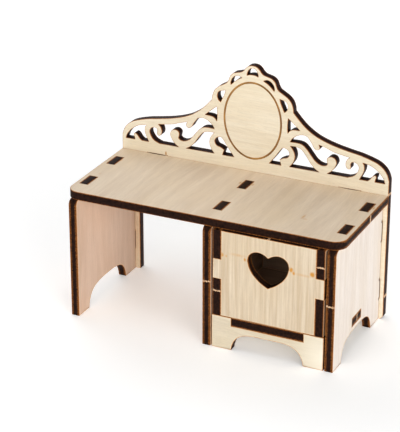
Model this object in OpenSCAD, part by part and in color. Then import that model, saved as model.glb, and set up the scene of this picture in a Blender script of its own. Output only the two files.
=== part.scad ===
// Miniature dressing table cut from thin plywood sheet, put together with tabs and slots.
// Frame: X to the right, Y from front to back, Z up from the floor, origin under the middle.

/* [Sheet] */
// Thickness of the plywood sheet
ply = 3; // [2.5:0.1:3.5]
// Play that the cutter leaves around a tab in its slot, on each side
slot_play = 0.08; // [0.05:0.01:0.15]

/* [Table] */
// Width of the table top
table_w = 101.6; // [98:0.2:106]
// Depth of the table top, from its front edge to the back panel
top_depth = 42.4; // [40:0.2:44]
// Height of the table top's upper face
top_height = 47; // [45:0.5:50]
// Radius of the table top's front corners
top_corner_r = 4.5; // [2:0.5:7]
// How far the side panels stand in from the ends of the table top
side_inset = 1.65; // [1:0.05:2.5]
// How far the side panels' front edges stand proud of the table top
side_proud = 1; // [0:0.1:2]
// Height of the back panel at the middle of its crown
crown_height = 86; // [85:0.5:90]

/* [Cabinet] */
// Clear width between the two cabinet walls
cabinet_w = 41.6; // [40:0.2:42]
// Height of the cabinet floor's upper face
floor_height = 12.2; // [11.5:0.1:13]
// Gap at each end of the apron
apron_gap = 0.5; // [0.1:0.1:1]

/* [Drawer] */
// Gap at each side of the drawer
drawer_side_gap = 0.8; // [0.5:0.05:1.5]
// Gap under the drawer
drawer_floor_gap = 0.15; // [0.1:0.05:0.5]
// Gap above the drawer
drawer_top_gap = 0.3; // [0.2:0.05:1.5]
// Depth of the drawer, outside
drawer_depth = 38; // [30:0.5:39]
// Width of the heart that is the finger pull
heart_w = 14.6; // [12:0.1:17]

/* [Hidden] */
$fn = 64;

// Places across the table
table_left = -table_w / 2;
left_side_x = table_left + side_inset;
right_side_x = table_w / 2 - side_inset - ply;
divider_x = right_side_x - cabinet_w - ply;
cabinet_x = right_side_x - cabinet_w;
cabinet_mid = cabinet_x + cabinet_w / 2;

// Places from front to back
total_depth = side_proud + top_depth + ply;
side_front = -total_depth / 2;
top_front = side_front + side_proud;
back_front = top_front + top_depth;

// Heights
top_under = top_height - ply;
floor_under = floor_height - ply;
drawer_z = floor_height + drawer_floor_gap;
drawer_h = top_under - drawer_top_gap - drawer_z;

// Tabs: [start, length], from the front edge of the table top or from the floor
tab_len = 7.3;
top_tabs = [7.3, 27];
rear_tabs = [8, 30];
floor_tab = [16, 8.2];
rear_top_tab_w = 8;
rear_top_tab_x = 36.8;
apron_tab_w = 26;

// Side panels
side_nose_r = 2;
side_arch_mid = 20.4;

// Back panel
back_leg_w = 6.5;
back_foot_cut = 1;
knee_hole_right = -0.4;
knee_hole_h = 36;
knee_hole_r = 6;
rail_top = 4.2;

// Engraved oval on the crown
oval_x = 0.2;
oval_z = 65.85;
oval_w = 21.4;
oval_h = 28;
oval_line = 0.6;
oval_depth = 0.25;

// Drawer
drawer_w = cabinet_w - 2 * drawer_side_gap;
drawer_x = cabinet_x + drawer_side_gap;
drawer_tab_z = 13.6;
drawer_bottom_tab_y = 15;
heart_rise = 13.65;

// Crown: each run is a smooth curve through its points, and runs meet at corners.
// Points are [distance from the middle, height above the table top].
curve_steps = 4;

outline_runs = [
    [[table_w / 2, 5.5], [50, 7.8], [48.5, 9.7], [46, 11.3], [41, 12.8], [36, 13.7], [31, 14.7], [26, 16.2],
     [22.5, 17.9], [19, 20.5], [15.4, 24.3]],
    [[15.4, 24.3], [15.2, 26], [14.4, 28], [12.9, 29.5], [11.1, 30.6], [9.7, 31.5], [9, 32.7], [8.4, 34.2],
     [7.2, 35.3], [5.6, 35.8], [4.2, 36.2], [3.3, 36.9], [2.6, 37.8], [1.7, 38.6],
     [0.7, crown_height - top_height - 0.05], [0, crown_height - top_height]]
];

corner_runs = [
    [[49.4, rail_top], [48.8, 5.8], [47.4, 7.6], [45.8, 8.9], [43.9, 9.9], [41.1, 10.5]],
    [[41.1, 10.5], [41.7, 9.5], [41.8, 8.2], [41.4, 6.6], [40.2, rail_top]],
    [[43, rail_top], [43.9, 4.9], [44.7, 6], [45.5, 6.6], [46.1, 6.5], [46.2, 5.8], [45.9, 5],
     [45.8, rail_top]]
];

scroll_runs = [
    [[38.2, 10.1], [39.2, 9.6], [39.8, 8.4], [39.4, 6.8], [38, 5.1], [35.8, rail_top]],
    [[28.3, rail_top], [29.8, 5.2], [31, 6.8], [31.7, 8.6], [31, 10.2], [29.4, 10.6], [28.1, 9.6],
     [28.4, 7.6]],
    [[28.4, 7.6], [27.6, 7], [26, 6.9], [24, 7.9], [22.3, 9.8], [20.6, 11.9], [19, 13.2], [17, 13.6],
     [14.4, 13.5]],
    [[14.4, 13.5], [15.2, 14.8], [17, 16.2], [19, 16.8], [20.8, 16.4]],
    [[20.8, 16.4], [22.2, 14.5], [23.2, 12.8], [24.1, 12.15], [25, 12.3], [25.4, 13.1], [25, 14.3]],
    [[25, 14.3], [28, 13.4], [31, 12.4], [36.3, 11.5]],
    [[36.3, 11.5], [35.3, 10.4], [34.95, 9], [35.2, 7.8], [35.9, 7.2], [36.65, 7.35], [36.9, 8.1],
     [36.8, 9.1], [37.2, 9.9], [38.2, 10.1]]
];

wave_runs = [
    [[25.4, rail_top], [23.7, 5.2], [22, 7], [20.4, 9.3], [18.7, 11.3], [16.8, 12], [14.5, 12]],
    [[14.5, 12], [15.8, 10.2], [16.3, 8.2], [15.8, 6.2], [14.4, rail_top]]
];

horn_runs = [
    [[18, 18.2], [15.8, 20.1], [13.5, 22]],
    [[13.5, 22], [13.3, 19.4], [13.4, 16.5]],
    [[13.4, 16.5], [14.4, 17.7], [16, 18.2], [18, 18.2]]
];

hook_runs = [
    [[12.8, 10.7], [13.8, 10], [14.2, 8.8], [13.5, 7.5], [12, 7], [10.5, 6.2]],
    [[10.5, 6.2], [10.9, 5.2], [11.2, rail_top]],
    [[6.7, rail_top], [8.9, 7], [10.8, 9.8], [11.8, 10.8], [12.8, 10.7]]
];

lower_petal_runs = [
    [[12, 23.9], [12.9, 24.7], [13.3, 26.2], [12.6, 27.8], [10.2, 28.5]],
    [[10.2, 28.5], [10.7, 26.8], [12, 23.9]]
];

upper_petal_runs = [
    [[8.1, 31], [8.2, 31.8], [7.7, 33.2], [6.6, 34.3], [5.3, 34.6], [4.05, 34.1]],
    [[4.05, 34.1], [5.8, 33.1], [7.2, 31.9], [8.1, 31]]
];

top_petal_runs = [
    [[0, 35.7], [1.1, 35.6], [2.1, 35.25]],
    [[2.1, 35.25], [2, 36.2], [1.5, 37.2], [0.8, 37.9], [0, 38.1]]
];

// Heart: half of it, as [share of the width, height above its tip]
heart_run = [[0, 0], [0.1, 0.75], [0.225, 1.95], [0.365, 3.9], [0.45, 5.9], [0.49, 7.7], [0.5, 9.2],
             [0.465, 10.8], [0.375, 11.95], [0.24, 12.4], [0.11, 11.9], [0, 10.85]];

// Foot openings: half of each, as [distance from its middle, height above the floor]
side_arch_run = [[14, 0], [13.85, 1], [13.4, 2.5], [12.6, 4], [11.4, 5.4], [9.6, 6.4], [7.4, 7], [4.8, 7.35],
                 [2, 7.5]];
apron_arch_run = [[13.1, 0], [12.9, 1.3], [12.4, 2.7], [11.7, 4], [10.8, 5], [9.6, 5.8], [8.1, 6.4],
                  [6.2, 6.75], [4.4, 6.85]];

// Point on the curve between points i and i + 1 of a run, at share t of the way
function smooth(p, i, t) =
    let (a = p[max(i - 1, 0)], b = p[i], c = p[i + 1], d = p[min(i + 2, len(p) - 1)])
    b + t * ((c - a) + t * ((2 * a - 5 * b + 4 * c - d) + t * (3 * b - a - 3 * c + d))) / 2;

function run_points(p) =
    [for (i = [0:len(p) - 2]) for (k = [0:curve_steps - 1]) smooth(p, i, k / curve_steps)];

// All points of an outline made of runs, without doubling the corners where two runs meet
function closed_points(runs) =
    [for (i = [0:len(runs) - 1])
        let (p = runs[i], last = p[len(p) - 1], next = runs[(i + 1) % len(runs)][0])
        each last == next ? run_points(p) : concat(run_points(p), [last])];

// The same points on the other side of the middle, in reverse order
function mirrored(points) = [for (i = [len(points) - 1:-1:0]) [-points[i][0], points[i][1]]];

// Whole outline of a shape whose right half starts and ends on the middle
function symmetric(half) = concat(half, [for (p = mirrored(half)) if (p[0] != 0) p]);

function oval_points(w, h, n = 72) =
    [for (k = [0:n - 1]) [w / 2 * cos(360 * k / n), h / 2 * sin(360 * k / n)]];

// Sheet lying flat, with its underside at z
module flat_sheet(z) {
    translate([0, 0, z]) linear_extrude(ply) children();
}

// Sheet standing across the table, drawn as seen from the front, with its front face at y
module cross_sheet(y, thick = ply) {
    translate([0, y + thick, 0]) rotate([90, 0, 0]) linear_extrude(thick) children();
}

// Sheet standing from front to back, drawn as seen from the right, with its left face at x
module long_sheet(x) {
    translate([x, 0, 0]) rotate([90, 0, 90]) linear_extrude(ply) children();
}

module bar(x, y, w, h) {
    translate([x, y]) square([w, h]);
}

// Slot for a tab of the same place and size
module slot(x, y, w, h) {
    bar(x - slot_play, y - slot_play, w + 2 * slot_play, h + 2 * slot_play);
}

// Opening that rises from the lower edge of a sheet
module foot_arch(mid, run) {
    half = concat([[run[0][0], -1]], run_points(run), [run[len(run) - 1]]);
    translate([mid, 0]) polygon(concat(half, mirrored(half)));
}

// Side panel seen from the right, with its tabs to the table top and the back panel
module side_shape() {
    bar(side_front, 0, back_front - side_front, top_under - side_nose_r);
    bar(side_front + side_nose_r, 0, back_front - side_front - side_nose_r, top_under);
    translate([side_front + side_nose_r, top_under - side_nose_r]) circle(side_nose_r);
    for (y = top_tabs) bar(top_front + y, top_under, tab_len, ply);
    for (z = rear_tabs) bar(back_front, z, ply, tab_len);
}

module side_cutouts(has_floor) {
    foot_arch(top_front + side_arch_mid, side_arch_run);
    if (has_floor) slot(top_front + floor_tab[0], floor_under, floor_tab[1], ply);
}

module side_panel(x, has_floor) {
    long_sheet(x) difference() {
        side_shape();
        side_cutouts(has_floor);
    }
}

module tabletop() {
    color("burlywood") flat_sheet(top_under) difference() {
        union() {
            bar(table_left, top_front + top_corner_r, table_w, top_depth - top_corner_r);
            bar(table_left + top_corner_r, top_front, table_w - 2 * top_corner_r, top_depth);
            for (side = [-1, 1])
                translate([side * (table_w / 2 - top_corner_r), top_front + top_corner_r])
                    circle(top_corner_r);
            for (side = [-1, 1])
                bar(side * rear_top_tab_x - rear_top_tab_w / 2, back_front, rear_top_tab_w, ply);
        }
        for (x = [left_side_x, divider_x, right_side_x])
            for (y = top_tabs) slot(x, top_front + y, ply, tab_len);
    }
}

// Outer shape of the back panel, without its openings
module back_shape() {
    foot = [[table_w / 2 - back_foot_cut, -top_height], [table_w / 2, back_foot_cut - top_height]];
    half = concat(foot, closed_points(outline_runs));
    translate([0, top_height]) polygon(concat(half, mirrored(half)));
}

module knee_hole() {
    knee_left = table_left + back_leg_w;
    knee_w = knee_hole_right - knee_left;
    bar(knee_left, -1, knee_w, knee_hole_h - knee_hole_r + 1);
    bar(knee_left + knee_hole_r, -1, knee_w - 2 * knee_hole_r, knee_hole_h + 1);
    for (x = [knee_left + knee_hole_r, knee_hole_right - knee_hole_r])
        translate([x, knee_hole_h - knee_hole_r]) circle(knee_hole_r);
}

module fretwork() {
    paired = [corner_runs, scroll_runs, wave_runs, horn_runs, hook_runs, lower_petal_runs, upper_petal_runs];
    translate([0, top_height]) {
        for (runs = paired) {
            polygon(closed_points(runs));
            polygon(mirrored(closed_points(runs)));
        }
        polygon(symmetric(closed_points(top_petal_runs)));
    }
}

module back_slots() {
    for (x = [left_side_x, divider_x, right_side_x])
        for (z = rear_tabs) slot(x, z, ply, tab_len);
    for (side = [-1, 1])
        slot(side * rear_top_tab_x - rear_top_tab_w / 2, top_under, rear_top_tab_w, ply);
    slot(cabinet_mid - apron_tab_w / 2, floor_under, apron_tab_w, ply);
}

module back_panel() {
    color("wheat") difference() {
        cross_sheet(back_front) difference() {
            back_shape();
            knee_hole();
            fretwork();
            back_slots();
        }
        cross_sheet(back_front - 1, oval_depth + 1) translate([oval_x, oval_z]) difference() {
            polygon(oval_points(oval_w + oval_line, oval_h + oval_line));
            polygon(oval_points(oval_w - oval_line, oval_h - oval_line));
        }
    }
}

module left_side() {
    color("tan") side_panel(left_side_x, false);
}

module divider() {
    color("tan") side_panel(divider_x, true);
}

module right_side() {
    color("antiquewhite") side_panel(right_side_x, true);
}

module cabinet_floor() {
    floor_front = side_front + ply;
    color("burlywood") flat_sheet(floor_under) {
        bar(cabinet_x, floor_front, cabinet_w, back_front - floor_front);
        bar(cabinet_mid - apron_tab_w / 2, side_front, apron_tab_w, total_depth);
        bar(cabinet_x - ply, top_front + floor_tab[0], cabinet_w + 2 * ply, floor_tab[1]);
    }
}

module front_apron() {
    color("wheat") cross_sheet(side_front) difference() {
        bar(cabinet_x + apron_gap, 0, cabinet_w - 2 * apron_gap, floor_height);
        slot(cabinet_mid - apron_tab_w / 2, floor_under, apron_tab_w, ply + 1);
        foot_arch(cabinet_mid, apron_arch_run);
    }
}

module heart() {
    scaled = [for (p = heart_run) [p[0] * heart_w, p[1]]];
    polygon(symmetric(closed_points([scaled])));
}

// Front or back of the drawer: a panel between the sides, with one tab over each side's end
module drawer_end_shape() {
    bar(drawer_x + ply, drawer_z, drawer_w - 2 * ply, drawer_h);
    bar(drawer_x, drawer_z + drawer_tab_z, drawer_w, tab_len);
}

module drawer_front() {
    color("wheat") cross_sheet(side_front) difference() {
        drawer_end_shape();
        translate([cabinet_mid, drawer_z + heart_rise]) heart();
    }
}

module drawer_back() {
    color("wheat") cross_sheet(side_front + drawer_depth - ply) drawer_end_shape();
}

module drawer_side(x) {
    color("tan") long_sheet(x) difference() {
        bar(side_front, drawer_z, drawer_depth, drawer_h);
        for (y = [side_front - 1, side_front + drawer_depth - ply])
            slot(y, drawer_z + drawer_tab_z, ply + 1, tab_len);
        slot(side_front + drawer_bottom_tab_y, drawer_z - 1, floor_tab[1], ply + 1);
    }
}

module drawer_left_side() {
    drawer_side(drawer_x);
}

module drawer_right_side() {
    drawer_side(drawer_x + drawer_w - ply);
}

module drawer_bottom() {
    color("burlywood") flat_sheet(drawer_z) {
        bar(drawer_x + ply, side_front + ply, drawer_w - 2 * ply, drawer_depth - 2 * ply);
        bar(drawer_x, side_front + drawer_bottom_tab_y, drawer_w, floor_tab[1]);
    }
}

tabletop();
back_panel();
left_side();
divider();
right_side();
cabinet_floor();
front_apron();
drawer_front();
drawer_left_side();
drawer_right_side();
drawer_back();
drawer_bottom();
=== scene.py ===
import math
import random

import bmesh
import bpy
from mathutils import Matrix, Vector
from mathutils.kdtree import KDTree


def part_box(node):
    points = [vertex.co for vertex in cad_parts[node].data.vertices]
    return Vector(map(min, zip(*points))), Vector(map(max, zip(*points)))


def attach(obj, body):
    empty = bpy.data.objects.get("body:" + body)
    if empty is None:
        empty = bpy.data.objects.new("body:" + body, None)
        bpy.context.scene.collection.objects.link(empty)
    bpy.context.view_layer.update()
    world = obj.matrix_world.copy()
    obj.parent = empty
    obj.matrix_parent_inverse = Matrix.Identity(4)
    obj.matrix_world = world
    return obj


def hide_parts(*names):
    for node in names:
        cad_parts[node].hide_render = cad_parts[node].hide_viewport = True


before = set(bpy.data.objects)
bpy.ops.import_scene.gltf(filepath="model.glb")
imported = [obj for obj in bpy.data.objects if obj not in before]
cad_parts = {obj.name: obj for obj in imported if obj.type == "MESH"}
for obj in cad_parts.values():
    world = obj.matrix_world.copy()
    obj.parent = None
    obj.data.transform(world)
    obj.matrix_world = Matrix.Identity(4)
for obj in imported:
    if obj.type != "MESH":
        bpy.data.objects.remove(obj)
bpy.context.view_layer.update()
mm = 0.001
axisNumber = {"x": 0, "y": 1, "z": 2}
print("frame loaded:", len(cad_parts), "sheets")


# short ways to add shader nodes
def startMaterial(name):
    material = bpy.data.materials.new(name)
    material.use_nodes = True
    tree = material.node_tree
    return material, tree, tree.nodes["Principled BSDF"]


def addNode(tree, kind, inputs=None, **settings):
    node = tree.nodes.new("ShaderNode" + kind)
    for name, value in settings.items():
        setattr(node, name, value)
    for name, value in (inputs or {}).items():
        plug(tree, value, node.inputs[name])
    return node


def plug(tree, value, socket):
    # a socket is linked, anything else is the socket's own value
    if isinstance(value, bpy.types.NodeSocket):
        tree.links.new(value, socket)
    else:
        socket.default_value = value


def readAttribute(tree, name):
    return addNode(tree, "Attribute", attribute_name=name)


def mapped(tree, vector, scale):
    node = addNode(tree, "Mapping", {"Vector": vector, "Scale": scale})
    return node.outputs["Vector"]


def noiseValue(tree, vector, detail, roughness=0.55):
    # the vector is already scaled, so one unit of it is one patch of noise
    node = addNode(tree, "TexNoise", {"Vector": vector, "Scale": 1.0, "Detail": detail,
                                      "Roughness": roughness})
    return node.outputs["Fac"]


def ranged(tree, value, low, high, toLow=0.0, toHigh=1.0):
    node = addNode(tree, "MapRange", {"Value": value, "From Min": low, "From Max": high,
                                      "To Min": toLow, "To Max": toHigh})
    return node.outputs["Result"]


def maths(tree, operation, a, b=0.0, clamp=False):
    node = addNode(tree, "Math", {0: a, 1: b}, operation=operation, use_clamp=clamp)
    return node.outputs["Value"]


def mixColor(tree, share, a, b, blend="MIX"):
    node = addNode(tree, "Mix", {"Factor": share, 6: a, 7: b}, data_type="RGBA", blend_type=blend)
    return node.outputs[2]


def rgba(color):
    return (*color, 1.0)


def grey(tree, value):
    return addNode(tree, "CombineColor", {0: value, 1: value, 2: value}).outputs[0]


# colours are linear, and sizes in mm; fibres and pores run along the sheet's grain
plyLook = {
    "fibreWidth": 0.30,
    "fibreLength": 6.0,
    "poreWidth": 0.10,
    "poreLength": 1.5,
    "bend": 8.0,                   # mm, how far a streak wanders sideways
    "bendsPerMm": (0.06, 0.014, 1),
    "cloudsPerMm": (0.07, 0.035, 1),
    "mottlesPerMm": (1.3, 0.9, 1),    # inside a knot
    "roughness": 0.60,
    "specular": 0.25,
    "bumpHeight": 0.02,
}

scorchLook = {
    "pale": (0.90, 0.72, 0.50),
    "tan": (0.66, 0.38, 0.17),
    "orange": (0.42, 0.15, 0.03),
    "brown": (0.060, 0.020, 0.008),
    "patch": 0.7,                  # mm, size of the blotches in the halo
    "drift": 7.0,                  # mm, over which the cut burns more or less
}

charLook = {
    "core": (0.0085, 0.0035, 0.0024),
    "rim": (0.270, 0.090, 0.018),
    "rimEnd": (0.050, 0.014, 0.007),
    "brown": (0.030, 0.0110, 0.0062),
    "striation": 0.20,             # mm, width of the beam's marks across the edge
    "striationsDeep": 0.4,         # per mm, through the sheet
    "blotchesPerMm": (1.1, 0.7, 1.4),
    "specksPerMm": (2.2, 1.6, 5.0),
    "specular": 0.045,
    "roughness": 0.55,
    "bumpHeight": 0.05,
}

# the back panel's edges are sooty from face to face along the grain, and brown in stretches across it
sootyLook = {
    "core": (0.0105, 0.0035, 0.0036),
    "rim": (0.085, 0.028, 0.014),
    "rimEnd": (0.150, 0.048, 0.012),
    "brown": (0.028, 0.0085, 0.0075),
    "specular": 0.055,
    "roughness": 0.50,
}


def grainColor(tree, coords, look):
    # wavy coordinates first, so that no streak is ruler straight
    bend = noiseValue(tree, mapped(tree, coords, plyLook["bendsPerMm"]), 1.0)
    sideways = maths(tree, "MULTIPLY", bend, look.get("bend", plyLook["bend"]))
    offset = addNode(tree, "CombineXYZ", {"X": sideways}).outputs["Vector"]
    wavy = addNode(tree, "VectorMath", {0: coords, 1: offset}, operation="ADD").outputs["Vector"]

    width, length = look["streak"]
    broad = noiseValue(tree, mapped(tree, wavy, (1 / width, 1 / length, 1)), 3.0, 0.6)
    fibreScale = (1 / plyLook["fibreWidth"], 1 / plyLook["fibreLength"], 1)
    fibre = noiseValue(tree, mapped(tree, wavy, fibreScale), 2.0, 0.6)
    poreScale = (1 / plyLook["poreWidth"], 1 / plyLook["poreLength"], 1)
    pores = noiseValue(tree, mapped(tree, wavy, poreScale), 1.0)
    cloud = noiseValue(tree, mapped(tree, coords, plyLook["cloudsPerMm"]), 2.0)

    color = mixColor(tree, ranged(tree, broad, 0.38, 0.62), rgba(look["light"]), rgba(look["dark"]))
    color = mixColor(tree, ranged(tree, cloud, 0.40, 0.70, 0.0, 0.6), color, rgba(look["warm"]))
    fibreShade = ranged(tree, fibre, 0.3, 0.7, 1.04, 0.94)
    poreShade = ranged(tree, pores, 0.60, 0.74, 1.0, 0.88)
    shade = maths(tree, "MULTIPLY", fibreShade, poreShade)
    color = mixColor(tree, 1.0, color, grey(tree, shade), "MULTIPLY")
    height = maths(tree, "ADD", maths(tree, "MULTIPLY", fibre, 0.6),
                   ranged(tree, pores, 0.60, 0.74, 0.0, -0.9))
    return color, height


throughSheet = 10000.0    # mm, so deep that a spot reaches both faces of any sheet


def spots(tree, coords, places):
    # each place is (across the grain, along it, half width, half length, strength)
    total = None
    for across, along, halfWidth, halfLength, strength in places:
        near = addNode(tree, "Mapping", {"Vector": coords, "Location": (across, along, 0),
                                         "Scale": (halfWidth, halfLength, throughSheet)},
                       vector_type="TEXTURE")
        ball = addNode(tree, "TexGradient", {"Vector": near.outputs["Vector"]}, gradient_type="SPHERICAL")
        part = maths(tree, "MULTIPLY", ball.outputs["Fac"], strength)
        total = part if total is None else maths(tree, "MAXIMUM", total, part)
    return total


def plyFaceMaterial(name, look):
    material, tree, shader = startMaterial(name)
    coords = readAttribute(tree, "sheetMm").outputs["Vector"]
    color, height = grainColor(tree, coords, look)

    if look.get("knots"):
        mottle = noiseValue(tree, mapped(tree, coords, plyLook["mottlesPerMm"]), 3.0, 0.6)
        mottle = ranged(tree, mottle, 0.3, 0.7, 0.6, 1.5)
        knot = maths(tree, "MULTIPLY", spots(tree, coords, look["knots"]), mottle, True)
        color = mixColor(tree, knot, color, rgba(look["knotColor"]))
    # painted light and shade: the tints pale some stretches of a face and darken others, and the marks
    # paint shade, in the charred brown, into gaps and joints between parts
    if look.get("paintedLightAndTint"):
        color = mixColor(tree, spots(tree, coords, look["paintedLightAndTint"]), color, rgba(look["paintedLightAndTintColor"]))
    if look.get("marks"):
        mark = maths(tree, "MULTIPLY", spots(tree, coords, look["marks"]), 1.0, True)
        color = mixColor(tree, mark, color, rgba(charLook["brown"]))

    # scorched halo along every cut, stronger in some stretches than in others
    scorch = readAttribute(tree, "scorch").outputs["Fac"]
    patch = noiseValue(tree, mapped(tree, coords, (1 / scorchLook["patch"],) * 3), 3.0, 0.6)
    drift = noiseValue(tree, mapped(tree, coords, (1 / scorchLook["drift"],) * 3), 2.0)
    patchy = ranged(tree, patch, 0.3, 0.7, 0.80, 1.20)
    drifting = ranged(tree, drift, 0.35, 0.65, 0.85, 1.15)
    strength = maths(tree, "MULTIPLY", patchy, drifting)
    burn = maths(tree, "MULTIPLY", maths(tree, "MULTIPLY", scorch, strength), look["halo"])
    color = mixColor(tree, ranged(tree, burn, 0.05, 0.30, 0.0, 0.35), color, rgba(scorchLook["pale"]))
    color = mixColor(tree, ranged(tree, burn, 0.30, 0.70, 0.0, 0.75), color, rgba(scorchLook["tan"]))
    color = mixColor(tree, ranged(tree, burn, 0.60, 0.90, 0.0, 0.90), color, rgba(scorchLook["orange"]))
    color = mixColor(tree, ranged(tree, burn, 0.88, 1.10, 0.0, 0.90), color, rgba(scorchLook["brown"]))

    plug(tree, color, shader.inputs["Base Color"])
    shader.inputs["Roughness"].default_value = plyLook["roughness"]
    shader.inputs["Specular IOR Level"].default_value = plyLook["specular"]
    relief = plyLook["bumpHeight"] * mm
    bump = addNode(tree, "Bump", {"Height": height, "Distance": relief, "Strength": 0.5})
    plug(tree, bump.outputs["Normal"], shader.inputs["Normal"])
    return material


def burntEdgeMaterial(name, look):
    # three plies: a black core between two skins, which stay orange-brown where the cut follows their grain
    material, tree, shader = startMaterial(name)
    coords = readAttribute(tree, "sheetMm").outputs["Vector"]
    depth = maths(tree, "ABSOLUTE", readAttribute(tree, "depth").outputs["Fac"])
    endGrain = readAttribute(tree, "endGrain").outputs["Fac"]

    beam = 1 / look["striation"]
    marks = noiseValue(tree, mapped(tree, coords, (beam, beam, look["striationsDeep"])), 2.0, 0.65)
    blotch = noiseValue(tree, mapped(tree, coords, look["blotchesPerMm"]), 3.0, 0.65)
    speck = noiseValue(tree, mapped(tree, coords, look["specksPerMm"]), 3.0, 0.7)

    rimShare = ranged(tree, speck, 0.42, 0.58, 0.0, 1.0)
    rim = mixColor(tree, rimShare, rgba(look["brown"]), rgba(look["rim"]))
    skin = mixColor(tree, ranged(tree, endGrain, 0.25, 0.8), rim, rgba(look["rimEnd"]))
    core = mixColor(tree, ranged(tree, blotch, 0.35, 0.7), rgba(look["core"]), rgba(look["brown"]))
    line = maths(tree, "ADD", depth, ranged(tree, marks, 0.3, 0.7, -0.10, 0.10))
    start = ranged(tree, endGrain, 0.25, 0.8, 0.40, 0.66)
    color = mixColor(tree, ranged(tree, maths(tree, "SUBTRACT", line, start), 0.0, 0.20), core, skin)
    lip = ranged(tree, line, 0.86, 0.98, 0.0, 0.90)
    color = mixColor(tree, lip, color, rgba(scorchLook["orange"]))
    color = mixColor(tree, 1.0, color, grey(tree, ranged(tree, marks, 0.3, 0.75, 0.75, 1.3)), "MULTIPLY")

    plug(tree, color, shader.inputs["Base Color"])
    shader.inputs["Roughness"].default_value = look["roughness"]
    shader.inputs["Specular IOR Level"].default_value = look["specular"]
    height = maths(tree, "ADD", marks, maths(tree, "MULTIPLY", speck, 0.5))
    relief = look["bumpHeight"] * mm
    bump = addNode(tree, "Bump", {"Height": height, "Distance": relief, "Strength": 0.7})
    plug(tree, bump.outputs["Normal"], shader.inputs["Normal"])
    return material


engravedLook = {
    "caramel": (0.48, 0.25, 0.065),
    "dark": (0.21, 0.09, 0.022),
    "runsPerMm": (0.12, 0.12, 1),
    "grainPerMm": (3.0, 1.0, 1),
    "roughness": 0.8,
}


def engravedMaterial(name, look):
    # the beam passes fast here, so the line is caramel with darker runs
    material, tree, shader = startMaterial(name)
    coords = readAttribute(tree, "sheetMm").outputs["Vector"]
    run = noiseValue(tree, mapped(tree, coords, look["runsPerMm"]), 2.0)
    grain = noiseValue(tree, mapped(tree, coords, look["grainPerMm"]), 3.0, 0.6)
    color = mixColor(tree, ranged(tree, run, 0.35, 0.65), rgba(look["caramel"]), rgba(look["dark"]))
    shade = ranged(tree, grain, 0.3, 0.7, 1.15, 0.8)
    color = mixColor(tree, 1.0, color, grey(tree, shade), "MULTIPLY")
    plug(tree, color, shader.inputs["Base Color"])
    shader.inputs["Roughness"].default_value = look["roughness"]
    return material


tornLook = {
    "pale": (0.82, 0.60, 0.38),
    "singed": (0.34, 0.13, 0.04),
    "fibre": 0.4,                  # mm
    "roughness": 0.75,
    "bumpHeight": 0.05,
}


def tornWoodMaterial(name, look):
    # fresh wood where a holding bridge was snapped
    material, tree, shader = startMaterial(name)
    place = addNode(tree, "TexCoord").outputs["Object"]
    fibre = noiseValue(tree, mapped(tree, place, (1 / (look["fibre"] * mm),) * 3), 4.0, 0.7)
    color = mixColor(tree, ranged(tree, fibre, 0.38, 0.62), rgba(look["pale"]), rgba(look["singed"]))
    plug(tree, color, shader.inputs["Base Color"])
    shader.inputs["Roughness"].default_value = look["roughness"]
    relief = look["bumpHeight"] * mm
    bump = addNode(tree, "Bump", {"Height": fibre, "Distance": relief, "Strength": 0.9})
    plug(tree, bump.outputs["Normal"], shader.inputs["Normal"])
    return material
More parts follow.
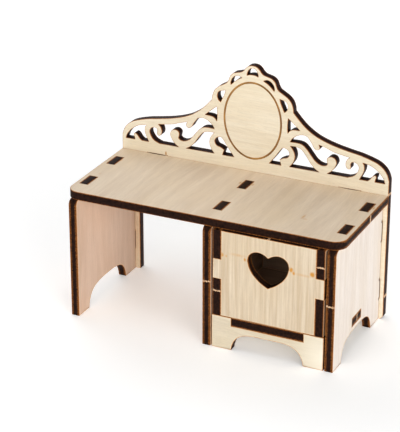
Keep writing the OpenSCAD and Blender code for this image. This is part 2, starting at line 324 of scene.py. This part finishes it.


# Each face's wood. streak is a streak's width and length, and halo how strongly the cuts scorch it.
# Knots, tints and marks are lists of spots. The tints paint in light and shade, with some scorch on the
# back panel's leg; the marks paint shade, in the charred brown, into gaps and joints.
faceLooks = {
    "topPly": {
        "light": (0.835, 0.690, 0.525), "dark": (0.745, 0.595, 0.440), "warm": (0.770, 0.605, 0.415),
        "streak": (3.4, 60.0), "halo": 0.92, "knotColor": (0.62, 0.32, 0.09),
        "knots": [
            (31.3, -7.9, 0.7, 2.6, 0.7), (32.3, -9.4, 1.2, 0.6, 0.6), (0.7, 9.2, 0.6, 1.3, 0.9),
            (5.3, 9.4, 0.6, 1.4, 0.8), (49.9, 8.6, 0.5, 1.6, 1.0), (-45.7, 9.4, 0.5, 1.2, 0.7),
            (-49.8, 9.0, 0.5, 1.0, 0.6), (-46.9, -4.5, 0.5, 1.0, 0.4),
        ],
        "marks": [(-37.0, 20.2, 4.6, 0.45, 2.4), (36.8, 20.2, 4.2, 0.35, 1.6)],    # painted shade, in the charred brown, in the rear tabs' gaps
    },
    "crownPly": {
        "light": (0.855, 0.765, 0.605), "dark": (0.795, 0.690, 0.520), "warm": (0.810, 0.700, 0.510),
        "streak": (1.5, 26.0), "halo": 1.02, "knotColor": (0.50, 0.22, 0.04),
        "knots": [(47.8, -33.4, 1.2, 0.35, 1.6)],
        "paintedLightAndTintColor": (0.60, 0.34, 0.15),
        "paintedLightAndTint": [(14.0, -45.3, 30.0, 3.0, 0.60)],     # the narrow left leg, orange with scorch, and darker as painted shade at the back of the knee-hole
    },
    # painted light: a paler, greyer copy of the plywood for the right side, which the key lamp washes out
    "rightPly": {
        "light": (0.855, 0.775, 0.715), "dark": (0.780, 0.685, 0.605), "warm": (0.800, 0.700, 0.595),
        "streak": (3.0, 60.0), "halo": 0.90,
        "marks": [    # painted shade, in the charred brown, at the corners of the rear tabs, and along the joint between them
            (19.9, 37.5, 1.0, 0.8, 3.0), (19.9, 30.0, 0.9, 0.7, 2.6), (19.9, 15.5, 1.0, 0.9, 3.0),
            (19.9, 7.9, 0.9, 0.8, 2.4), (20.2, 24.0, 0.7, 44.0, 1.3),
        ],
    },
    # painted shade: a darker, pinker copy of the plywood for the left side and the divider, whose faces
    # stand in shade
    "leftPly": {
        "light": (0.660, 0.485, 0.375), "dark": (0.590, 0.415, 0.305), "warm": (0.625, 0.415, 0.290),
        "streak": (4.0, 60.0), "halo": 0.90,
        # lighter and pinker towards the top
        "paintedLightAndTintColor": (0.80, 0.60, 0.49),
        "paintedLightAndTint": [(10.0, 36.0, 20.0, 30.0, 0.20)],
        # painted shade, in the charred brown, at the corners of the rear tabs and along the joint with the
        # back panel
        "marks": [(19.9, 37.5, 1.0, 0.8, 3.0), (19.9, 30.0, 0.9, 0.7, 2.6), (20.2, 24.0, 0.7, 44.0, 0.8)],
    },
    "apronPly": {
        "light": (0.725, 0.635, 0.490), "dark": (0.650, 0.550, 0.405), "warm": (0.670, 0.570, 0.400),
        "streak": (1.6, 30.0), "halo": 0.86,
        "paintedLightAndTintColor": (0.93, 0.86, 0.72),
        "paintedLightAndTint": [(4.0, 46.0, 14.0, 13.0, 0.9)],       # painted light: the paler right end, where the light from the right and from the floor falls
    },
    "drawerPly": {
        "light": (0.740, 0.625, 0.475), "dark": (0.590, 0.460, 0.315), "warm": (0.640, 0.505, 0.335),
        "streak": (0.9, 38.0), "bend": 2.5, "halo": 0.90, "knotColor": (0.60, 0.27, 0.045),
        "knots": [
            (8.7, 35.1, 0.8, 1.0, 1.4), (10.3, 34.9, 0.5, 0.7, 0.6), (17.0, 34.9, 0.6, 0.9, 1.0),
            (33.6, 34.6, 0.9, 1.1, 1.6), (34.5, 33.6, 0.6, 0.9, 1.3), (41.0, 34.4, 1.1, 1.2, 1.7),
            (14.5, 36.0, 4.5, 0.8, 0.30), (38.0, 33.5, 5.0, 0.7, 0.30),
        ],
    },
    # painted shade: the drawer box's plywood is made dark brown, so that its inside, seen through the
    # heart, lies in shade
    "insidePly": {
        "light": (0.420, 0.280, 0.190), "dark": (0.350, 0.225, 0.145), "warm": (0.380, 0.235, 0.145),
        "streak": (1.6, 30.0), "halo": 0.86,
    },
}
faceFinishes = {name: plyFaceMaterial(name, look) for name, look in faceLooks.items()}
edgeFinishes = {
    "charred": burntEdgeMaterial("charredEdge", charLook),
    "sooty": burntEdgeMaterial("sootyEdge", charLook | sootyLook),
}
engraved = engravedMaterial("engravedLine", engravedLook)
tornWood = tornWoodMaterial("tornWood", tornLook)
print("finishes made:", len(bpy.data.materials))


# the sheets: thin is the direction of the sheet's thickness, grain that of its fibres
sheets = [
    {"node": "tabletop", "body": "table", "slot": "top_ply",
     "face": "topPly", "thin": "z", "grain": "y"},
    {"node": "back_panel", "body": "table", "slot": "back_ply",
     "face": "crownPly", "thin": "y", "grain": "x", "edge": "sooty", "halo": 0.28, "even": False},
    {"node": "left_side", "body": "table", "slot": "side_ply",
     "face": "leftPly", "thin": "x", "grain": "z"},
    {"node": "divider", "body": "table", "slot": "side_ply",
     "face": "leftPly", "thin": "x", "grain": "z"},
    {"node": "right_side", "body": "table", "slot": "side_ply",
     "face": "rightPly", "thin": "x", "grain": "z"},
    {"node": "cabinet_floor", "body": "table", "slot": "cabinet_ply",
     "face": "apronPly", "thin": "z", "grain": "y"},
    {"node": "front_apron", "body": "table", "slot": "cabinet_ply",
     "face": "apronPly", "thin": "y", "grain": "x"},
    {"node": "drawer_front", "body": "drawer", "slot": "drawer_ply",
     "face": "drawerPly", "thin": "y", "grain": "z"},
    {"node": "drawer_left_side", "body": "drawer", "slot": "drawer_ply",
     "face": "insidePly", "thin": "x", "grain": "y"},
    {"node": "drawer_right_side", "body": "drawer", "slot": "drawer_ply",
     "face": "insidePly", "thin": "x", "grain": "y"},
    {"node": "drawer_back", "body": "drawer", "slot": "drawer_ply",
     "face": "insidePly", "thin": "y", "grain": "x"},
    {"node": "drawer_bottom", "body": "drawer", "slot": "drawer_ply",
     "face": "insidePly", "thin": "z", "grain": "x"},
]

cutShape = {
    "halo": 0.45,           # mm, width of the scorched halo
    "round": 0.06,          # mm, softness of the cut's arris
    "segments": 2,
    "sharp": 32.0,          # degrees, past which a corner of the outline stays crisp
    "square": 60.0,         # degrees, past which an edge of a skin is an arris
    "straight": 0.5,        # degrees, under which neighbouring walls become one
    "weld": 0.002,          # mm
    "flat": 0.99,           # least part of a skin's normal along the thickness
    "level": 0.01,          # mm, how near a skin lies to the sheet's outer surface
    "grooveReach": 0.45,    # mm, how far the engraved line's scorch goes
    "grooveScorch": 0.35,
    "grainStep": 40,        # mm, between one sheet's grain and the next one's
}


def isSkin(face, thin, low, high):
    # a face that lies on one of the sheet's two outer surfaces
    place = face.calc_center_median()[thin]
    off = min(abs(place - low), abs(place - high))
    return abs(face.normal[thin]) > cutShape["flat"] and off < cutShape["level"] * mm


def grooveTree(bm, thin, low, high):
    # points on the floor of an engraved line, which lies just inside the sheet's face
    floors = [f for f in bm.faces
              if abs(f.normal[thin]) > cutShape["flat"] and not isSkin(f, thin, low, high)]
    points = [v.co.copy() for f in floors for v in f.verts]
    tree = KDTree(len(points))
    for number, point in enumerate(points):
        tree.insert(point, number)
    tree.balance()
    return tree if points else None


def sheetMesh(spec, number):
    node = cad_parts[spec["node"]]
    thin = axisNumber[spec["thin"]]
    along = axisNumber[spec["grain"]]
    across = 3 - thin - along
    lowest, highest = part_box(spec["node"])
    low, high = lowest[thin], highest[thin]

    bm = bmesh.new()
    bm.from_mesh(node.data)
    inside = bm.verts.layers.float.new("inside")
    scorch = bm.verts.layers.float.new("scorch")
    depth = bm.verts.layers.float.new("depth")
    coords = bm.verts.layers.float_vector.new("sheetMm")
    endGrain = bm.faces.layers.float.new("endGrain")
    bmesh.ops.remove_doubles(bm, verts=bm.verts, dist=cutShape["weld"] * mm)
    walls = [e for e in bm.edges if all(abs(f.normal[thin]) < 0.5 for f in e.link_faces)]
    bmesh.ops.dissolve_limit(bm, angle_limit=math.radians(cutShape["straight"]), verts=[], edges=walls)
    groove = grooveTree(bm, thin, low, high)

    skins = [f for f in bm.faces if isSkin(f, thin, low, high)]
    bmesh.ops.inset_region(bm, faces=skins, use_boundary=True, use_even_offset=spec.get("even", True),
                           thickness=spec.get("halo", cutShape["halo"]) * mm)
    for f in skins:
        for v in f.verts:
            v[inside] = 1.0

    arrises = [e for e in bm.edges if len(e.link_faces) == 2
               and sum(isSkin(f, thin, low, high) for f in e.link_faces) == 1
               and e.calc_face_angle(0) > math.radians(cutShape["square"])]
    bmesh.ops.bevel(bm, geom=arrises, offset=cutShape["round"] * mm, offset_type="OFFSET",
                    segments=cutShape["segments"], profile=0.5, affect="EDGES", clamp_overlap=True,
                    loop_slide=False, material=-1)

    middle = (low + high) / 2
    for v in bm.verts:
        nearGroove = groove and groove.find(v.co)[2] < cutShape["grooveReach"] * mm
        v[scorch] = 0.0 if v[inside] > 0.5 else cutShape["grooveScorch"] if nearGroove else 1.0
        layer = v.co[thin] / mm + cutShape["grainStep"] * number
        v[coords] = Vector((v.co[across] / mm, v.co[along] / mm, layer))
        v[depth] = (v.co[thin] - middle) / ((high - low) / 2)
    for f in bm.faces:
        f[endGrain] = abs(f.normal[along])
        f.smooth = True
        nearGroove = groove and all(0 < v[scorch] < 1 for v in f.verts)
        f.material_index = 0 if isSkin(f, thin, low, high) else 2 if nearGroove else 1
    for e in bm.edges:
        e.smooth = e.calc_face_angle(0) < math.radians(cutShape["sharp"])
    bm.verts.layers.float.remove(inside)
    mesh = bpy.data.meshes.new(spec["node"] + "Sheet")
    bm.to_mesh(mesh)
    bm.free()
    return mesh


def addPiece(name, mesh, body, materials):
    piece = bpy.data.objects.new(name, mesh)
    bpy.context.scene.collection.objects.link(piece)
    for material in materials:
        mesh.materials.append(material)
    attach(piece, body)
    return piece


for number, spec in enumerate(sheets):
    mesh = sheetMesh(spec, number)
    piece = addPiece(spec["node"] + "Sheet", mesh, spec["body"],
                     [faceFinishes[spec["face"]], edgeFinishes[spec.get("edge", "charred")], engraved])
    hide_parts(spec["node"])
    print("sheet:", spec["node"], len(mesh.polygons), "faces")


# Each sheet hung in its board by small bridges. Where one was snapped, a strip of pale torn wood crosses
# the burnt edge. face is the burnt face it lies on, run the direction across the sheet's thickness, and
# x, y or z its place along the edge, in mm.
bridges = [
    {"name": "dividerBridge", "node": "divider", "face": "-y", "run": "x", "z": 24.0, "wide": 0.55},
    {"name": "rightSideBridge", "node": "right_side", "face": "-y", "run": "x", "z": 24.1, "wide": 0.6},
    {"name": "drawerLeftBridge", "node": "drawer_left_side", "face": "-y", "run": "x",
     "z": 21.4, "wide": 0.6},
    {"name": "drawerRightBridge", "node": "drawer_right_side", "face": "-y", "run": "x",
     "z": 37.4, "wide": 0.5},
    {"name": "tabletopRightBridge", "node": "tabletop", "face": "+x", "run": "z", "y": 3.2, "wide": 0.8},
    {"name": "tabletopLeftBridge", "node": "tabletop", "face": "-x", "run": "z", "y": 3.2, "wide": 0.7},
    {"name": "backRightBridge", "node": "back_panel", "face": "+x", "run": "y", "z": 8.6, "wide": 0.9},
    {"name": "backLeftBridge", "node": "back_panel", "face": "-x", "run": "y", "z": 8.6, "wide": 0.8},
    {"name": "railRightBridge", "node": "back_panel", "face": "+x", "run": "y", "z": 47.2, "wide": 0.8},
    {"name": "railLeftBridge", "node": "back_panel", "face": "-x", "run": "y", "z": 47.2, "wide": 0.7},
    {"name": "floorTabBridge", "node": "cabinet_floor", "face": "+x", "run": "z", "y": -1.6, "wide": 0.5},
    {"name": "drawerTopBridge", "node": "drawer_front", "face": "+z", "run": "y", "x": 25.2, "wide": 0.9},
    {"name": "drawerFootBridge", "node": "drawer_front", "face": "-z", "run": "y", "x": 25.3, "wide": 1.2},
]

bridgeShape = {
    "proud": 0.05,      # mm above the burnt face
    "sunk": 0.15,
    "short": 0.1,       # mm less than the sheet's thickness
    "cuts": 11,
    "crossCuts": 3,
    "ragged": 0.20,     # mm, how far its sides wander
    "rough": 0.035,
}


def bridgeMesh(spec, seed):
    rng = random.Random(seed)
    lowest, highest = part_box(spec["node"])
    out = axisNumber[spec["face"][1]]
    run = axisNumber[spec["run"]]
    side = 3 - out - run
    sign = 1 if spec["face"][0] == "+" else -1
    surface = highest[out] if sign > 0 else lowest[out]
    center = Vector((0, 0, 0))
    center[out] = surface + sign * (bridgeShape["proud"] - bridgeShape["sunk"]) / 2 * mm
    center[run] = (lowest[run] + highest[run]) / 2
    center[side] = spec["xyz"[side]] * mm
    size = Vector((0, 0, 0))
    size[out] = (bridgeShape["proud"] + bridgeShape["sunk"]) * mm
    size[run] = highest[run] - lowest[run] - bridgeShape["short"] * mm
    size[side] = spec["wide"] * mm

    bm = bmesh.new()
    bmesh.ops.create_cube(bm, size=1)
    bmesh.ops.scale(bm, vec=size, verts=bm.verts)
    bmesh.ops.translate(bm, vec=center, verts=bm.verts)
    longEdges = [e for e in bm.edges if abs((e.verts[0].co - e.verts[1].co)[run]) > size[run] / 2]
    bmesh.ops.subdivide_edges(bm, edges=longEdges, cuts=bridgeShape["cuts"], use_grid_fill=True)
    crossEdges = [e for e in bm.edges if abs((e.verts[0].co - e.verts[1].co)[side]) > size[side] / 2]
    bmesh.ops.subdivide_edges(bm, edges=crossEdges, cuts=bridgeShape["crossCuts"], use_grid_fill=True)
    wander = {}
    for v in bm.verts:
        station = round(v.co[run] / mm, 2)
        if station not in wander:
            wander[station] = [rng.uniform(-1, 1) for _ in range(3)]
        lower, upper, lift = wander[station]
        share = (v.co[side] - center[side]) / (size[side] / 2)
        v.co[side] += (upper if share > 0 else lower) * abs(share) * bridgeShape["ragged"] * mm
        if sign * (v.co[out] - center[out]) > 0:
            rise = 0.5 * lift + 0.5 * rng.uniform(-1, 1) - abs(share)
            v.co[out] += sign * bridgeShape["rough"] * mm * rise
    mesh = bpy.data.meshes.new(spec["name"])
    bmesh.ops.recalc_face_normals(bm, faces=bm.faces)
    bm.to_mesh(mesh)
    bm.free()
    return mesh


sheetByNode = {spec["node"]: spec for spec in sheets}
for seed, spec in enumerate(bridges):
    sheet = sheetByNode[spec["node"]]
    addPiece(spec["name"], bridgeMesh(spec, seed), sheet["body"], [tornWood])
print("bridges snapped:", len(bridges))


# the floor glows as painted light, a little, and more further out, as a white sweep does under its own
# lamps; the weaker glow near the middle is painted shade round the table
stageLook = {
    "size": 6.0,            # m
    "color": (0.95, 0.95, 0.95),
    "roughness": 0.9,
    "nearGlow": 0.24,
    "glow": 0.32,
    "near": 0.06,           # m from the middle, where the glow starts to rise
    "far": 0.18,
    "sky": 0.30,            # strength of the light from all round
}

floorMesh = bpy.data.meshes.new("floor")
bm = bmesh.new()
bmesh.ops.create_grid(bm, x_segments=1, y_segments=1, size=stageLook["size"] / 2)
bm.to_mesh(floorMesh)
bm.free()
floor = bpy.data.objects.new("floor", floorMesh)
bpy.context.scene.collection.objects.link(floor)
floorMaterial, floorTree, floorShader = startMaterial("paleFloor")
floorShader.inputs["Base Color"].default_value = rgba(stageLook["color"])
floorShader.inputs["Roughness"].default_value = stageLook["roughness"]
floorShader.inputs["Specular IOR Level"].default_value = 0.0
floorShader.inputs["Emission Color"].default_value = (1, 1, 1, 1)
place = addNode(floorTree, "TexCoord").outputs["Object"]
reach = addNode(floorTree, "VectorMath", {0: place}, operation="LENGTH").outputs["Value"]
glow = ranged(floorTree, reach, stageLook["near"], stageLook["far"],
              stageLook["nearGlow"], stageLook["glow"])
plug(floorTree, glow, floorShader.inputs["Emission Strength"])
floorMesh.materials.append(floorMaterial)

lampLooks = [
    {"name": "keyLamp", "azimuth": 52, "elevation": 12, "distance": 2.0, "size": 1.1, "power": 24,
     "color": (1.0, 0.99, 0.97)},
    {"name": "frontLamp", "azimuth": 14, "elevation": 22, "distance": 2.0, "size": 1.1, "power": 8.5,
     "color": (1.0, 1.0, 1.0)},
    {"name": "topLamp", "azimuth": 10, "elevation": 80, "distance": 2.0, "size": 1.1, "power": 8,
     "color": (0.99, 1.0, 1.0)},
    {"name": "backLamp", "azimuth": 230, "elevation": 34, "distance": 2.0, "size": 1.4, "power": 15,
     "color": (0.98, 0.99, 1.0)},
]
aim = Vector((0.0, 0.0, 0.04))


def outward(azimuth, elevation):
    # azimuth 0 is straight in front of the table, and grows towards its right
    a, e = math.radians(azimuth), math.radians(elevation)
    return Vector((math.sin(a) * math.cos(e), -math.cos(a) * math.cos(e), math.sin(e)))


for look in lampLooks:
    light = bpy.data.lights.new(look["name"], "AREA")
    light.size = look["size"]
    light.energy = look["power"]
    light.color = look["color"]
    lamp = bpy.data.objects.new(look["name"], light)
    direction = outward(look["azimuth"], look["elevation"])
    lamp.location = aim + direction * look["distance"]
    lamp.rotation_euler = direction.to_track_quat("Z", "Y").to_euler()
    bpy.context.scene.collection.objects.link(lamp)

world = bpy.data.worlds.new("studio")
world.use_nodes = True
world.node_tree.nodes["Background"].inputs["Color"].default_value = (1.0, 1.0, 1.0, 1)
world.node_tree.nodes["Background"].inputs["Strength"].default_value = stageLook["sky"]
bpy.context.scene.world = world
bpy.context.scene.view_settings.view_transform = "Standard"

cameraLook = {
    "azimuth": 25.48, "elevation": 23.85, "aim": (-0.01635, 0.00969, 0.03552), "distance": 0.64,
    "lens": 163.8, "shiftX": 0.0091, "shiftY": -0.0300,
}
cameraData = bpy.data.cameras.new("camera")
cameraData.sensor_fit = "HORIZONTAL"
cameraData.sensor_width = 36
cameraData.lens = cameraLook["lens"]
cameraData.shift_x = cameraLook["shiftX"]
cameraData.shift_y = cameraLook["shiftY"]
cameraData.clip_start = 0.01
cameraObject = bpy.data.objects.new("camera", cameraData)
direction = outward(cameraLook["azimuth"], cameraLook["elevation"])
cameraObject.location = Vector(cameraLook["aim"]) + direction * cameraLook["distance"]
cameraObject.rotation_euler = direction.to_track_quat("Z", "Y").to_euler()
bpy.context.scene.collection.objects.link(cameraObject)
bpy.context.scene.camera = cameraObject
print("stage set")
